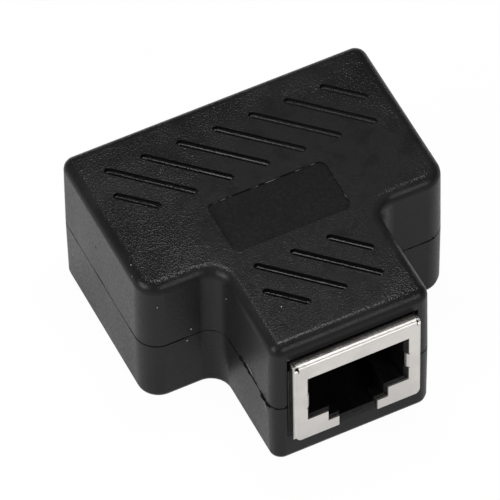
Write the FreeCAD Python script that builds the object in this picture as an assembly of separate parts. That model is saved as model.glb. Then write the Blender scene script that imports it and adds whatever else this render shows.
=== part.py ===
import FreeCAD, Part
import math
import os

# Network splitter adapter: a T-shaped two-part moulded housing with one shielded eight-way jack in the
# end of the stem and two beside each other in the bar, all three soldered to one T-shaped board.
# Frame: origin at the middle of the footprint on the resting face, +Z up, the single jack faces -Y and
# the pair faces +Y. Millimetres throughout.

V = FreeCAD.Vector

# Jack shield: one folded sheet over the top, the sides, the back and the face
jack_width = 15.9
jack_height = 13.3
jack_depth = 15.9
sheet = 0.25
fold_radius = 0.42
shield_fit = 0.03
face_corner_cut = 0.6
corner_relief = 0.43
corner_relief_drop = 0.5
relief_slot_width = 0.15
relief_slot_drop = 0.75
top_seam_inset = 0.3
top_seam_width = 0.12
top_seam_depth = 0.08

# Window that is stamped in the shield's face, measured up from the board
window_half_width = 6.37
window_floor = 3.32
window_top = 10.88
window_step_half_width = 3.78
window_step_floor = 1.62
window_slot_half_width = 2.42

# Grounding fingers that curl in from both sides of the window
finger_low = 5.56
finger_high = 7.9
finger_root_x = 6.2
finger_root_overlap = 0.5
finger_bow_x = 5.88
finger_bow_depth = 4.0
finger_tip_x = 6.12
finger_tip_depth = 5.6
finger_fold_cut = 0.22
finger_slit = 0.16
finger_slit_reach = 0.12

# Legs of the shield that are soldered into the board
leg_width = 1.6
leg_below_board = 0.9
leg_depth_from_face = 8.4

# Plug cavity in the jack's moulded body, measured up from the board and in from the face
plug_half_width = 5.95
plug_floor = 3.5
plug_ceiling = 10.5
plug_depth = 10.9
latch_step_half_width = 3.45
latch_step_floor = 1.8
latch_slot_half_width = 2.17
latch_floor = 1.05
latch_lip = 1.7
latch_pocket_depth = 9.4
mouth_chamfer = 0.3
body_edge_chamfer = 0.3
body_front_wall = 1.9
body_top_wall = 0.9
finger_pocket_room = 0.15

# Pegs under the body that locate it in the board
peg_radius = 1.55
peg_hole_clearance = 0.08
peg_from_side = 2.23
peg_sides = 8
peg_depth_from_face = 5.4
peg_below_board = 0.7

# Contacts: eight formed strips, soldered in two staggered rows
contact_count = 8
contact_pitch = 1.02
contact_width = 0.42
contact_thickness = 0.3
contact_fit = 0.03
contact_run_below_top = 0.37
contact_nose_depth = 3.0
contact_nose_radius = 0.55
contact_nose_steps = 3
contact_slope_deg = 18.0
contact_end_depth = 11.35
contact_bend_cut = 0.35
contact_below_board = 1.15
front_row_depth = 12.4
row_spacing = 2.54

# Insert: the L-shaped moulding that carries the contacts and slides in from the back of the body
insert_side_margin = 0.85
insert_ledge = 0.45
insert_plate_thickness = 1.32
insert_nose_setback = 0.3
insert_fit = 0.05
comb_depth = 1.05
comb_below_contact = 0.75

# Housing, built outwards from the jacks
side_gap = 0.25
side_wall = 1.8
end_wall = 1.8
top_wall = 2.0
floor_wall = 1.6
jack_proud = 1.3
jack_pair_gap = 2.7
jack_run_gap = 7.2
shoulder_lap = 0.6
solder_room = 1.5
jack_top_gap = 0.6
parting_height = 9.9
draft_deg = 0.5
bar_front_radius = 2.8
bar_rear_radius = 1.6
stem_front_radius = 1.6
armpit_radius = 2.4
top_edge_radius = 1.4
top_edge_steps = 5
bottom_edge_radius = 1.0
bottom_edge_steps = 3
parting_chamfer = 0.14
window_clearance = 0.2
window_mouth_chamfer = 0.2

# Tongue on the lower half that enters a rebate in the upper half
tongue_height = 1.1
tongue_thickness = 0.75
tongue_clearance = 0.08

# Glue pegs in the two front corners of the bar
glue_boss_radius = 2.3
glue_peg_radius = 1.0
glue_peg_clearance = 0.06
glue_peg_height = 4.0
glue_peg_tip_room = 0.5
glue_boss_sides = 8
glue_boss_from_side = 5.7
glue_boss_from_shoulder = 4.1

# Ribs inside the halves
rib_thickness = 1.1
rib_clearance = 0.1
hold_down_from_face = 6.5
hold_down_rear_from_face = 11.8
stop_rib_width = 2.6
stop_rib_from_axis = 4.6
stop_rib_drop = 5.0
board_post_radius = 1.15
board_post_sides = 8

# Grip grooves in both broad faces
groove_width = 0.95
groove_depth = 0.58
groove_pitch = 4.55
groove_angle_deg = 43.5
groove_end_sides = 3
top_groove_steps = 2
bottom_groove_steps = 1
bar_groove_rows = 8
bar_groove_centre_y = 10.2
bar_groove_half_width = 15.75
bar_groove_half_depth = 3.55
stem_groove_rows = 4
stem_groove_centre_y = -9.62
stem_groove_half_width = 6.65
stem_groove_half_depth = 3.5

# Sunk panel in the top face
panel_half_width = 7.45
panel_half_depth = 3.85
panel_centre_y = 0.45
panel_radius = 1.0
panel_depth = 0.3

# Board
board_thickness = 1.6
board_edge_gap = 0.35
board_front_gap = 0.4
board_neck_margin = 0.25
board_bar_lead = 0.9
board_corner_radius = 0.8
pin_hole_radius = 0.44
pin_hole_sides = 6
leg_slot_room = 0.12

# Solder cone round each pin, under the board
solder_height = 0.75
solder_pad_radius = 0.62
solder_tip_radius = 0.34
solder_sides = 6

# Worked-out places
draft = math.tan(math.radians(draft_deg))
jack_pitch = jack_width + jack_pair_gap
stem_half = jack_width / 2 + side_gap + side_wall
bar_half = jack_pitch / 2 + jack_width / 2 + side_gap + side_wall
jack_face_y = jack_run_gap / 2 + jack_depth
end_y = jack_face_y - jack_proud
shoulder_y = -jack_run_gap / 2 - shoulder_lap
board_low = floor_wall + solder_room
board_top = board_low + board_thickness
jack_top = board_top + jack_height
housing_height = jack_top + jack_top_gap + top_wall
ceiling = housing_height - top_wall
glue_boss_x = bar_half - glue_boss_from_side
glue_boss_y = shoulder_y + glue_boss_from_shoulder

body_half_width = jack_width / 2 - sheet - shield_fit
body_front = sheet + shield_fit
body_back = jack_depth - sheet - shield_fit
body_height = jack_height - sheet - shield_fit
peg_half_spacing = jack_width / 2 - peg_from_side
insert_top = body_height - body_top_wall
insert_half_width = (contact_count - 1) / 2 * contact_pitch + insert_side_margin
insert_plate_low = insert_top - insert_plate_thickness
contact_run_z = insert_top - contact_run_below_top
contact_xs = [(i - (contact_count - 1) / 2) * contact_pitch for i in range(contact_count)]


def box(x0, x1, y0, y1, z0, z1):
    """Block between two corners."""
    return Part.makeBox(x1 - x0, y1 - y0, z1 - z0, V(x0, y0, z0))


def ring(x, y, z, radius, sides):
    """Corners of a level outline with even sides, which stands in for a small circle."""
    corners = []
    for side in range(sides):
        turn = 2 * math.pi * side / sides
        corners.append(V(x + radius * math.cos(turn), y + radius * math.sin(turn), z))
    return corners


def flat_face(corners):
    """Flat face between corners."""
    return Part.Face(Part.makePolygon(corners + [corners[0]]))


def post(x, y, z0, z1, radius, sides):
    """Upright post or hole with even sides."""
    return flat_face(ring(x, y, z0, radius, sides)).extrude(V(0, 0, z1 - z0))


def flat_sided(rings):
    """Solid with flat sides through level rings of corners, one above the other."""
    faces = [flat_face(rings[0]), flat_face(rings[-1])]
    for low, high in zip(rings, rings[1:]):
        for i in range(len(low)):
            faces.append(flat_face([low[i - 1], low[i], high[i], high[i - 1]]))
    solid = Part.makeSolid(Part.makeShell(faces))
    if solid.Volume < 0:
        solid.reverse()
    return solid


def rounded_wire(corners):
    """Closed wire through (point, radius) corners, each rounded by a tangent arc. Radius 0 is sharp."""
    count = len(corners)
    entries = []
    exits = []
    middles = []
    for i in range(count):
        point, radius = corners[i]
        back = (corners[i - 1][0] - point).normalize()
        ahead = (corners[(i + 1) % count][0] - point).normalize()
        half_angle = back.getAngle(ahead) / 2
        reach = radius / math.tan(half_angle)
        bisector = (back + ahead).normalize()
        entries.append(point + back * reach)
        exits.append(point + ahead * reach)
        middles.append(point + bisector * (radius / math.sin(half_angle) - radius))
    edges = []
    for i in range(count):
        if corners[i][1] > 0:
            edges.append(Part.Arc(entries[i], middles[i], exits[i]).toShape())
        start = exits[i]
        end = entries[(i + 1) % count]
        if (end - start).Length > 1e-6:
            edges.append(Part.LineSegment(start, end).toShape())
    return Part.Wire(edges)


def inner_radius(radius, inset):
    """Radius of an outer corner once the outline moves inwards. The tightest corners end up sharp."""
    return max(radius - inset, 0)


def t_wire(inset, z):
    """The housing's T outline at one height, moved inwards by inset."""
    bar = bar_half - inset
    stem = stem_half - inset
    rear = end_y - inset
    front = -end_y + inset
    shoulder = shoulder_y + inset
    stem_radius = inner_radius(stem_front_radius, inset)
    front_radius = inner_radius(bar_front_radius, inset)
    rear_radius = inner_radius(bar_rear_radius, inset)
    armpit = armpit_radius + inset
    return rounded_wire(
        [
            (V(-stem, front, z), stem_radius),
            (V(stem, front, z), stem_radius),
            (V(stem, shoulder, z), armpit),
            (V(bar, shoulder, z), front_radius),
            (V(bar, rear, z), rear_radius),
            (V(-bar, rear, z), rear_radius),
            (V(-bar, shoulder, z), front_radius),
            (V(-stem, shoulder, z), armpit),
        ]
    )


def t_loft(levels):
    """Block through T outlines, given as (inset, height) pairs."""
    return Part.makeLoft([t_wire(inset, z) for inset, z in levels], True, True)


def drafted_t(levels):
    """The same through splines, so that each slender drafted corner is one ruled surface."""
    wires = []
    for inset, z in levels:
        edges = [edge.toNurbs().Edges[0] for edge in t_wire(inset, z).Edges]
        wires.append(Part.Wire(edges))
    return Part.makeLoft(wires, True, True)


def rounded_levels(z_face, radius, steps, inset):
    """(inset, height) pairs that step round a broad edge, from the wall to the face."""
    away = 1 if z_face > parting_height else -1
    levels = []
    for step in range(steps + 1):
        turn = math.pi / 2 * step / steps
        height = z_face - away * radius * (1 - math.sin(turn))
        levels.append((inset + radius * (1 - math.cos(turn)), height))
    return levels


def face_folds(block):
    """A jack block's three folded edges round its face."""
    bounds = block.BoundBox
    found = []
    for edge in block.Edges:
        middle = edge.CenterOfMass
        if middle.y < bounds.YMin + sheet and middle.z > bounds.Center.z - 1:
            found.append(edge)
    return found


def side_folds(block):
    """A jack block's two folded edges along the sides of its top."""
    bounds = block.BoundBox
    found = []
    for edge in block.Edges:
        middle = edge.CenterOfMass
        if middle.z > bounds.ZMax - sheet and abs(middle.x) > bounds.XMax - sheet:
            found.append(edge)
    return found


def upper_edges(block):
    """A block's upright edges and the four round its top."""
    return [edge for edge in block.Edges if edge.CenterOfMass.z > block.BoundBox.Center.z - 1]


def half_shell(z_face, edge_radius, edge_steps, lip_chamfer, z_inside):
    """One open half: drafted outside, rounded broad edge, lip at the parting plane and a drafted hollow."""
    away = 1 if z_face > parting_height else -1
    wall_inset = draft * (abs(z_face - parting_height) - edge_radius)
    edge_levels = rounded_levels(z_face, edge_radius, edge_steps, wall_inset)
    wall_levels = [(0, parting_height + away * lip_chamfer), edge_levels[0]]
    if lip_chamfer:
        wall_levels.insert(0, (lip_chamfer, parting_height))
    outside = drafted_t(wall_levels).fuse(t_loft(edge_levels))
    inner_inset = side_wall + draft * abs(z_inside - parting_height)
    hollow = drafted_t([(side_wall, parting_height), (inner_inset, z_inside)])
    return outside.cut(hollow)


def placed(shape, where):
    """Moves a jack piece from its own frame to one of the three places."""
    moved = shape.copy()
    if where == "front":
        moved.translate(V(0, -jack_face_y, board_top))
        return moved
    side = -1 if where == "left" else 1
    moved.rotate(V(0, 0, 0), V(0, 0, 1), 180)
    moved.translate(V(side * jack_pitch / 2, jack_face_y, board_top))
    return moved


def jack_window(where):
    """Hole in the end wall for one jack, with a small chamfer at its mouth."""
    half = jack_width / 2 + window_clearance
    low = -window_clearance
    high = jack_height + window_clearance
    hole = box(-half, half, 0, jack_proud + end_wall + side_gap, low, high)
    mouth = Part.makeLoft(
        [
            rectangle_xz(half + window_mouth_chamfer, low - window_mouth_chamfer,
                         high + window_mouth_chamfer, jack_proud),
            rectangle_xz(half, low, high, jack_proud + window_mouth_chamfer),
        ],
        True,
        True,
    )
    return placed(hole.fuse(mouth), where)


def rectangle_xz(half_width, z0, z1, y):
    """Upright rectangle across the jack axis."""
    return Part.makePolygon(
        [
            V(-half_width, y, z0),
            V(half_width, y, z0),
            V(half_width, y, z1),
            V(-half_width, y, z1),
            V(-half_width, y, z0),
        ]
    )


def slot_ring(start, end, half_width, z):
    """Corners of a straight level slot with many-sided round ends."""
    along = (end - start).normalize()
    across = V(-along.y, along.x, 0)
    points = []
    for centre, away in ((end, along), (start, along * -1)):
        for side in range(groove_end_sides + 1):
            turn = math.pi * (side / groove_end_sides - 0.5)
            beside = across if centre is end else across * -1
            spot = centre + away * (half_width * math.cos(turn)) + beside * (half_width * math.sin(turn))
            points.append(V(spot.x, spot.y, z))
    return points


def groove(centre_x, centre_y, z_face, steps, half_width, half_depth):
    """Round-ended, round-bottomed grip groove on a slant, cut short at the sides of its field."""
    slope = math.tan(math.radians(groove_angle_deg))
    left = max(centre_x - half_depth / slope, -half_width)
    right = min(centre_x + half_depth / slope, half_width)
    start = V(left, centre_y + (centre_x - left) * slope, 0)
    end = V(right, centre_y + (centre_x - right) * slope, 0)
    away = 1 if z_face > parting_height else -1
    last_turn = math.pi / 2 * steps / (steps + 1)
    rings = [slot_ring(start, end, groove_width / 2, z_face + away * groove_depth)]
    for step in range(steps + 1):
        turn = last_turn * step / steps
        depth = groove_depth * math.sin(turn) / math.sin(last_turn)
        rings.append(slot_ring(start, end, groove_width / 2 * math.cos(turn), z_face - away * depth))
    return flat_sided(rings)


def groove_field(rows, centre_y, half_width, half_depth, z_face, steps):
    """Evenly pitched grooves that fill one rectangle of a broad face."""
    found = []
    for i in range(rows):
        centre_x = (i - (rows - 1) / 2) * groove_pitch
        found.append(groove(centre_x, centre_y, z_face, steps, half_width, half_depth))
    return found


def grip_grooves(z_face, steps):
    """Both fields of grooves on one broad face."""
    bar = groove_field(
        bar_groove_rows, bar_groove_centre_y, bar_groove_half_width, bar_groove_half_depth, z_face, steps
    )
    stem = groove_field(
        stem_groove_rows, stem_groove_centre_y, stem_groove_half_width, stem_groove_half_depth, z_face, steps
    )
    return bar + stem


def sunk_panel():
    """Shallow rounded pocket in the top face."""
    low = housing_height - panel_depth
    corners = [
        V(-panel_half_width, panel_centre_y - panel_half_depth, low),
        V(panel_half_width, panel_centre_y - panel_half_depth, low),
        V(panel_half_width, panel_centre_y + panel_half_depth, low),
        V(-panel_half_width, panel_centre_y + panel_half_depth, low),
    ]
    outline = rounded_wire([(corner, panel_radius) for corner in corners])
    return Part.Face(outline).extrude(V(0, 0, 2 * panel_depth))


def tongue(room):
    """Ring just inside the wall's outer skin, from the parting plane up. Room widens and deepens it."""
    low = parting_height - room
    high = parting_height + tongue_height + room
    outer = Part.Face(t_wire(side_wall - tongue_thickness - room, low))
    inner = Part.Face(t_wire(side_wall + room, low))
    return outer.extrude(V(0, 0, high - low)).cut(inner.extrude(V(0, 0, high - low)))


def window_guard(where):
    """Space beside a jack window that the tongue leaves free."""
    half = jack_width / 2 + window_clearance + tongue_clearance
    room = box(-half, half, 0, jack_proud + end_wall + side_gap, -jack_height, 2 * jack_height)
    return placed(room, where)


def hold_down_ribs():
    """Cross ribs under the ceiling, just clear of the jack tops."""
    low = jack_top + rib_clearance
    ribs = []
    stem_reach = stem_half - side_wall / 2
    bar_reach = bar_half - side_wall / 2
    for from_face in (hold_down_from_face, hold_down_rear_from_face):
        front_y = -jack_face_y + from_face
        rear_y = jack_face_y - from_face
        ribs.append(box(-stem_reach, stem_reach, front_y - rib_thickness / 2,
                        front_y + rib_thickness / 2, low, ceiling + top_wall / 2))
        ribs.append(box(-bar_reach, bar_reach, rear_y - rib_thickness / 2,
                        rear_y + rib_thickness / 2, low, ceiling + top_wall / 2))
    return ribs


def stop_ribs():
    """Pairs of short ribs behind each jack that take the push of a plug."""
    low = jack_top - stop_rib_drop
    high = ceiling + top_wall / 2
    near = jack_run_gap / 2 - rib_clearance
    far = near - rib_thickness
    ribs = []
    for x in (-stop_rib_from_axis, stop_rib_from_axis):
        ribs.append(box(x - stop_rib_width / 2, x + stop_rib_width / 2, -near, -far, low, high))
    for centre in (-jack_pitch / 2, jack_pitch / 2):
        for x in (centre - stop_rib_from_axis, centre + stop_rib_from_axis):
            ribs.append(box(x - stop_rib_width / 2, x + stop_rib_width / 2, far, near, low, high))
    return ribs


def glue_places():
    """Centres of the two glue bosses."""
    return [(-glue_boss_x, glue_boss_y), (glue_boss_x, glue_boss_y)]


def board_post_places():
    """Posts under the board: between the pegs of each jack, at the bar's shoulders and in the middle."""
    shoulder_x = bar_half - side_wall - board_edge_gap - board_post_radius
    shoulder_post_y = board_bar_front() + board_post_radius
    rear = board_rear() - board_post_radius
    front = board_front() + board_post_radius
    return [
        (0, front),
        (0, 0),
        (-jack_pitch / 2, rear),
        (jack_pitch / 2, rear),
        (-shoulder_x, shoulder_post_y),
        (shoulder_x, shoulder_post_y),
    ]


def board_neck_half():
    """Half width of the board in the stem."""
    return stem_half - side_wall - board_neck_margin


def board_bar_front():
    """Front edge of the board's bar."""
    return jack_run_gap / 2 - board_bar_lead


def board_rear():
    """Rear edge of the board."""
    return end_y - end_wall - board_front_gap


def board_front():
    """Front edge of the board."""
    return -board_rear()


def glue_posts(z0, z1, radius):
    """Posts or sockets on both glue places."""
    return [post(x, y, z0, z1, radius, glue_boss_sides) for x, y in glue_places()]


def upper_shell():
    """Top half, with grooves, sunk panel, ribs and glue sockets."""
    shell = half_shell(housing_height, top_edge_radius, top_edge_steps, 0, ceiling)
    bosses = glue_posts(parting_height, ceiling + top_wall / 2, glue_boss_radius)
    shell = shell.fuse(hold_down_ribs() + stop_ribs() + bosses)
    socket_top = parting_height + glue_peg_height + glue_peg_tip_room
    sockets = glue_posts(parting_height - 1, socket_top, glue_peg_radius + glue_peg_clearance)
    windows = [jack_window(where) for where in ("front", "left", "right")]
    grooves = grip_grooves(housing_height, top_groove_steps)
    return shell.cut([tongue(tongue_clearance), sunk_panel()] + sockets + windows + grooves)


def lower_shell():
    """Bottom half, with its tongue, board posts, glue pegs and grooves."""
    shell = half_shell(0, bottom_edge_radius, bottom_edge_steps, parting_chamfer, floor_wall)
    guards = [window_guard(where) for where in ("front", "left", "right")]
    ring_tongue = tongue(0).cut(guards)
    posts = [
        post(x, y, floor_wall / 2, board_low, board_post_radius, board_post_sides)
        for x, y in board_post_places()
    ]
    bosses = glue_posts(floor_wall / 2, parting_height, glue_boss_radius)
    pegs = glue_posts(floor_wall / 2, parting_height + glue_peg_height, glue_peg_radius)
    shell = shell.fuse([ring_tongue] + posts + bosses + pegs)
    windows = [jack_window(where) for where in ("front", "left", "right")]
    return shell.cut(windows + grip_grooves(0, bottom_groove_steps))


def stepped_wire(half_widths, levels, top, y):
    """Outline of a plug opening: the wide part, the step under it and the latch slot, widest first."""
    wide, step, slot = half_widths
    floor, step_floor, slot_floor = levels
    right = [(wide, top), (wide, floor), (step, floor), (step, step_floor), (slot, step_floor)]
    right.append((slot, slot_floor))
    left = [(-x, z) for x, z in reversed(right)]
    points = [V(x, y, z) for x, z in right + left]
    return Part.makePolygon(points + [points[0]])


def plug_wire(grow, y):
    """The body's plug opening, grown evenly."""
    half_widths = (plug_half_width + grow, latch_step_half_width + grow, latch_slot_half_width + grow)
    levels = (plug_floor - grow, latch_step_floor - grow, latch_floor - grow)
    return stepped_wire(half_widths, levels, plug_ceiling + grow, y)


def strip(points, thickness, width, to_shape):
    """Strip with mitred bends along a planar path of (u, v) points. to_shape turns (u, v) into a point on
    one side of the strip, and width is the vector across it."""
    vectors = [V(u, v, 0) for u, v in points]
    normals = []
    for start, end in zip(vectors, vectors[1:]):
        ahead = (end - start).normalize()
        normals.append(V(-ahead.y, ahead.x, 0))
    upper = []
    lower = []
    for vector, before, after in zip(vectors, normals[:1] + normals, normals + normals[-1:]):
        total = before + after
        shift = total * (thickness / total.dot(total))
        upper.append(vector + shift)
        lower.append(vector - shift)
    outline = [to_shape(point.x, point.y) for point in upper + lower[::-1]]
    return flat_face(outline).extrude(width)


def finger(side):
    """One grounding finger, from inside the face plate to its free tip."""
    path = [
        (sheet / 2, side * (window_half_width + finger_root_overlap)),
        (sheet / 2, side * (finger_root_x + finger_fold_cut)),
        (sheet / 2 + finger_fold_cut, side * finger_root_x),
        (finger_bow_depth, side * finger_bow_x),
        (finger_tip_depth, side * finger_tip_x),
    ]
    height = V(0, 0, finger_high - finger_low)
    return strip(path, sheet, height, lambda depth, x: V(x, depth, finger_low))


def jack_shield():
    """Folded shield: face with its window and fingers, top, sides, back and two solder legs."""
    half = jack_width / 2
    outside = box(-half, half, 0, jack_depth, 0, jack_height)
    outside = outside.makeFillet(fold_radius, face_folds(outside) + side_folds(outside))
    inside = box(-half + sheet, half - sheet, sheet, jack_depth - sheet, -1, jack_height - sheet)
    inside = inside.makeFillet(fold_radius - sheet, face_folds(inside))
    window = Part.Face(
        stepped_wire(
            (window_half_width, window_step_half_width, window_slot_half_width),
            (window_floor, window_step_floor, -1),
            window_top,
            -1,
        )
    ).extrude(V(0, sheet + 2, 0))
    cuts = [inside, window]
    for side in (-1, 1):
        corner_x = side * half
        low_cut = Part.Face(
            Part.makePolygon(
                [
                    V(corner_x + side, -1, -1),
                    V(corner_x - side * (face_corner_cut + 1), -1, -1),
                    V(corner_x + side, -1, face_corner_cut + 1),
                    V(corner_x + side, -1, -1),
                ]
            )
        ).extrude(V(0, 1 + fold_radius, 0))
        cuts.append(low_cut)
        for inner, outer, drop in (
            (corner_relief, -1, corner_relief_drop),
            (corner_relief + relief_slot_width, corner_relief, relief_slot_drop),
        ):
            x = sorted((corner_x - side * inner, corner_x - side * outer))
            cuts.append(box(x[0], x[1], -1, fold_radius, jack_height - drop, jack_height + 1))
        seam_edge_x = corner_x - side * top_seam_inset
        seam_x = sorted((seam_edge_x, seam_edge_x - side * top_seam_width))
        seam_z = jack_height - top_seam_depth
        cuts.append(box(seam_x[0], seam_x[1], fold_radius, jack_depth - fold_radius, seam_z, jack_height + 1))
        for z in (finger_low - finger_slit, finger_high):
            slit_x = sorted((side * (window_half_width + finger_slit_reach), side * finger_root_x))
            cuts.append(box(slit_x[0], slit_x[1], -1, sheet + 1, z, z + finger_slit))
    shield = outside.cut(cuts)
    legs = []
    for side in (-1, 1):
        leg_x = sorted((side * half, side * (half - sheet)))
        legs.append(
            box(leg_x[0], leg_x[1], leg_depth_from_face - leg_width / 2, leg_depth_from_face + leg_width / 2,
                -board_thickness - leg_below_board, 2 * leg_width)
        )
    return shield.fuse(legs + [finger(-1), finger(1)])


def peg_places():
    """Centres of the body's two pegs in the jack's own frame."""
    return [(-peg_half_spacing, peg_depth_from_face), (peg_half_spacing, peg_depth_from_face)]


def insert_block(room):
    """Outer form of the contact insert, or with room the pocket that takes it."""
    half = insert_half_width + room
    nose = contact_nose_depth + insert_nose_setback - room
    plate = box(-half, half, nose, body_back, insert_plate_low - room, insert_top + room)
    block = box(-half, half, plug_depth - room, body_back, 0, insert_top + room)
    return plate.fuse(block)


def jack_body():
    """Moulded body: plug cavity with latch step and pocket, insert pocket, finger pockets and pegs."""
    body = box(-body_half_width, body_half_width, body_front, body_back, 0, body_height)
    body = body.makeChamfer(body_edge_chamfer, upper_edges(body))
    lip_end = body_front + latch_lip
    mouth = Part.makeLoft(
        [plug_wire(mouth_chamfer, body_front), plug_wire(0, body_front + mouth_chamfer)], True, True
    )
    lip = Part.Face(plug_wire(0, body_front)).extrude(V(0, latch_lip, 0))
    cavity = box(-plug_half_width, plug_half_width, body_front, plug_depth, plug_floor, plug_ceiling)
    pocket = box(-latch_step_half_width, latch_step_half_width, lip_end, latch_pocket_depth,
                 latch_floor, plug_floor + 1)
    hidden_front = body_front + body_front_wall
    contact_room = box(-insert_half_width - insert_fit, insert_half_width + insert_fit, hidden_front,
                       contact_nose_depth + insert_nose_setback, plug_ceiling - 1, insert_top + insert_fit)
    tail_half = insert_half_width - insert_ledge
    tail_room = box(-tail_half, tail_half, hidden_front, plug_depth, plug_ceiling - 1, insert_top)
    cuts = [mouth, lip, cavity, pocket, contact_room, tail_room, insert_block(insert_fit)]
    for side in (-1, 1):
        x = sorted((side * (plug_half_width - 1), side * (finger_root_x + sheet / 2 + finger_pocket_room)))
        cuts.append(
            box(x[0], x[1], body_front - 1, finger_tip_depth + finger_pocket_room,
                finger_low - finger_pocket_room, finger_high + finger_pocket_room)
        )
    body = body.cut(cuts)
    low = -board_thickness - peg_below_board
    pegs = [post(x, depth, low, plug_floor / 2, peg_radius, peg_sides) for x, depth in peg_places()]
    return body.fuse(pegs)


def row_depth(index):
    """Depth from the face at which one contact goes down into the board: the rows take turns."""
    return front_row_depth + (index % 2) * row_spacing


def nose_point(step):
    """Centre line of the contact's nose after one of its even steps, from the top round to the free end."""
    turn = math.pi / 2 + (math.pi - math.radians(contact_slope_deg)) * step / contact_nose_steps
    depth = contact_nose_depth + contact_nose_radius * math.cos(turn)
    return depth, contact_run_z - contact_nose_radius + contact_nose_radius * math.sin(turn)


def contact_end_z():
    """Height of the free end's centre line."""
    start_depth, start_z = nose_point(contact_nose_steps)
    return start_z - (contact_end_depth - start_depth) * math.tan(math.radians(contact_slope_deg))


def contact_wire(index, room):
    """One contact from its board pin, up, forward, round the nose and back down into the plug's space.
    With room the same form is grown, to cut its channel."""
    half_width = contact_width / 2 + room
    x = contact_xs[index] - half_width
    row = row_depth(index)
    path = [
        (row, -board_thickness - contact_below_board),
        (row, contact_run_z - contact_bend_cut),
        (row - contact_bend_cut, contact_run_z),
    ]
    path += [nose_point(step) for step in range(contact_nose_steps + 1)]
    path.append((contact_end_depth, contact_end_z()))
    thickness = contact_thickness + 2 * room
    width = V(2 * half_width, 0, 0)
    return strip(path, thickness, width, lambda depth, z: V(x, depth, z))


def jack_insert():
    """Contact insert: a grooved plate, and behind it a block with the pin channels and the comb."""
    insert = insert_block(0)
    cuts = []
    for index in range(contact_count):
        half = contact_width / 2 + contact_fit
        x0 = contact_xs[index] - half
        x1 = contact_xs[index] + half
        depth = row_depth(index)
        reach = contact_thickness / 2 + contact_fit
        cuts.append(box(x0, x1, 0, depth + reach, contact_run_z - reach, insert_top + 1))
        cuts.append(box(x0, x1, depth - reach, depth + reach, -1, insert_top + 1))
        comb_low = contact_end_z() - comb_below_contact
        cuts.append(box(x0, x1, plug_depth - 1, plug_depth + comb_depth, comb_low, insert_plate_low))
        cuts.append(contact_wire(index, contact_fit))
    return insert.cut(cuts)


def board_outline():
    """T-shaped board: wide under the pair of jacks, narrow under the single one."""
    bar_x = bar_half - side_wall - board_edge_gap
    neck_x = board_neck_half()
    points = [
        (-neck_x, board_front()),
        (neck_x, board_front()),
        (neck_x, board_bar_front()),
        (bar_x, board_bar_front()),
        (bar_x, board_rear()),
        (-bar_x, board_rear()),
        (-bar_x, board_bar_front()),
        (-neck_x, board_bar_front()),
    ]
    return rounded_wire([(V(x, y, board_low), board_corner_radius) for x, y in points])


def circuit_board():
    """The board with its pin holes, peg holes and slots for the shield legs."""
    board = Part.Face(board_outline()).extrude(V(0, 0, board_thickness))
    below = -board_thickness - 1
    tools = []
    for index in range(contact_count):
        tools.append(post(contact_xs[index], row_depth(index), below, 1, pin_hole_radius, pin_hole_sides))
    for x, depth in peg_places():
        tools.append(post(x, depth, below, 1, peg_radius + peg_hole_clearance, peg_sides))
    for side in (-1, 1):
        x = sorted((side * (jack_width / 2 + leg_slot_room), side * (jack_width / 2 - sheet - leg_slot_room)))
        half_slot = leg_width / 2 + leg_slot_room
        tools.append(
            box(x[0], x[1], leg_depth_from_face - half_slot, leg_depth_from_face + half_slot, below, 1)
        )
    cuts = [placed(tool, where) for where in ("front", "left", "right") for tool in tools]
    return board.cut(cuts)


def solder_joints():
    """Solder cones round the eight pins of one jack, as separate solids."""
    cones = []
    for index in range(contact_count):
        x = contact_xs[index]
        depth = row_depth(index)
        pad = ring(x, depth, -board_thickness, solder_pad_radius, solder_sides)
        tip = ring(x, depth, -board_thickness - solder_height, solder_tip_radius, solder_sides)
        cones.append(flat_sided([tip, pad]).cut(contact_wire(index, 0)))
    return Part.makeCompound(cones)


def build():
    """Every piece by its node name."""
    pieces = {
        "upper_shell": upper_shell(),
        "lower_shell": lower_shell(),
        "circuit_board": circuit_board(),
    }
    shield = jack_shield()
    body = jack_body()
    insert = jack_insert()
    solder = solder_joints()
    contacts = [contact_wire(index, 0) for index in range(contact_count)]
    for where in ("front", "left", "right"):
        pieces[where + "_jack_shield"] = placed(shield, where)
        pieces[where + "_jack_body"] = placed(body, where)
        pieces[where + "_jack_insert"] = placed(insert, where)
        pieces[where + "_jack_solder"] = placed(solder, where)
        for index in range(contact_count):
            name = where + "_contact_" + str(index + 1)
            pieces[name] = placed(contacts[index], where)
    return {name: piece.removeSplitter() for name, piece in pieces.items()}


def main():
    """Writes one file for each piece."""
    os.makedirs("parts", exist_ok=True)
    for name, shape in build().items():
        shape.exportStep(os.path.join("parts", name + ".step"))
        print(name, len(shape.Solids), "solids", round(shape.Volume, 2), "mm3", "valid", shape.isValid())


main()
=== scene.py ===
"""Looks of a three-port network splitter: a black moulded T with one shielded socket in its stem and a
pair of them in its bar.

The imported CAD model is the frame. Each class below makes one finish or dresses one sub-assembly: the
two moulded halves, the three jacks, the board inside, the seam between the halves and the dust.
Places are in the row's frame, in millimetres until they go to Blender in metres.
"""

from __future__ import annotations

import logging
import math
import random
from dataclasses import dataclass
from enum import Enum

import bmesh
import bpy
from mathutils import Matrix, Vector

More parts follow.
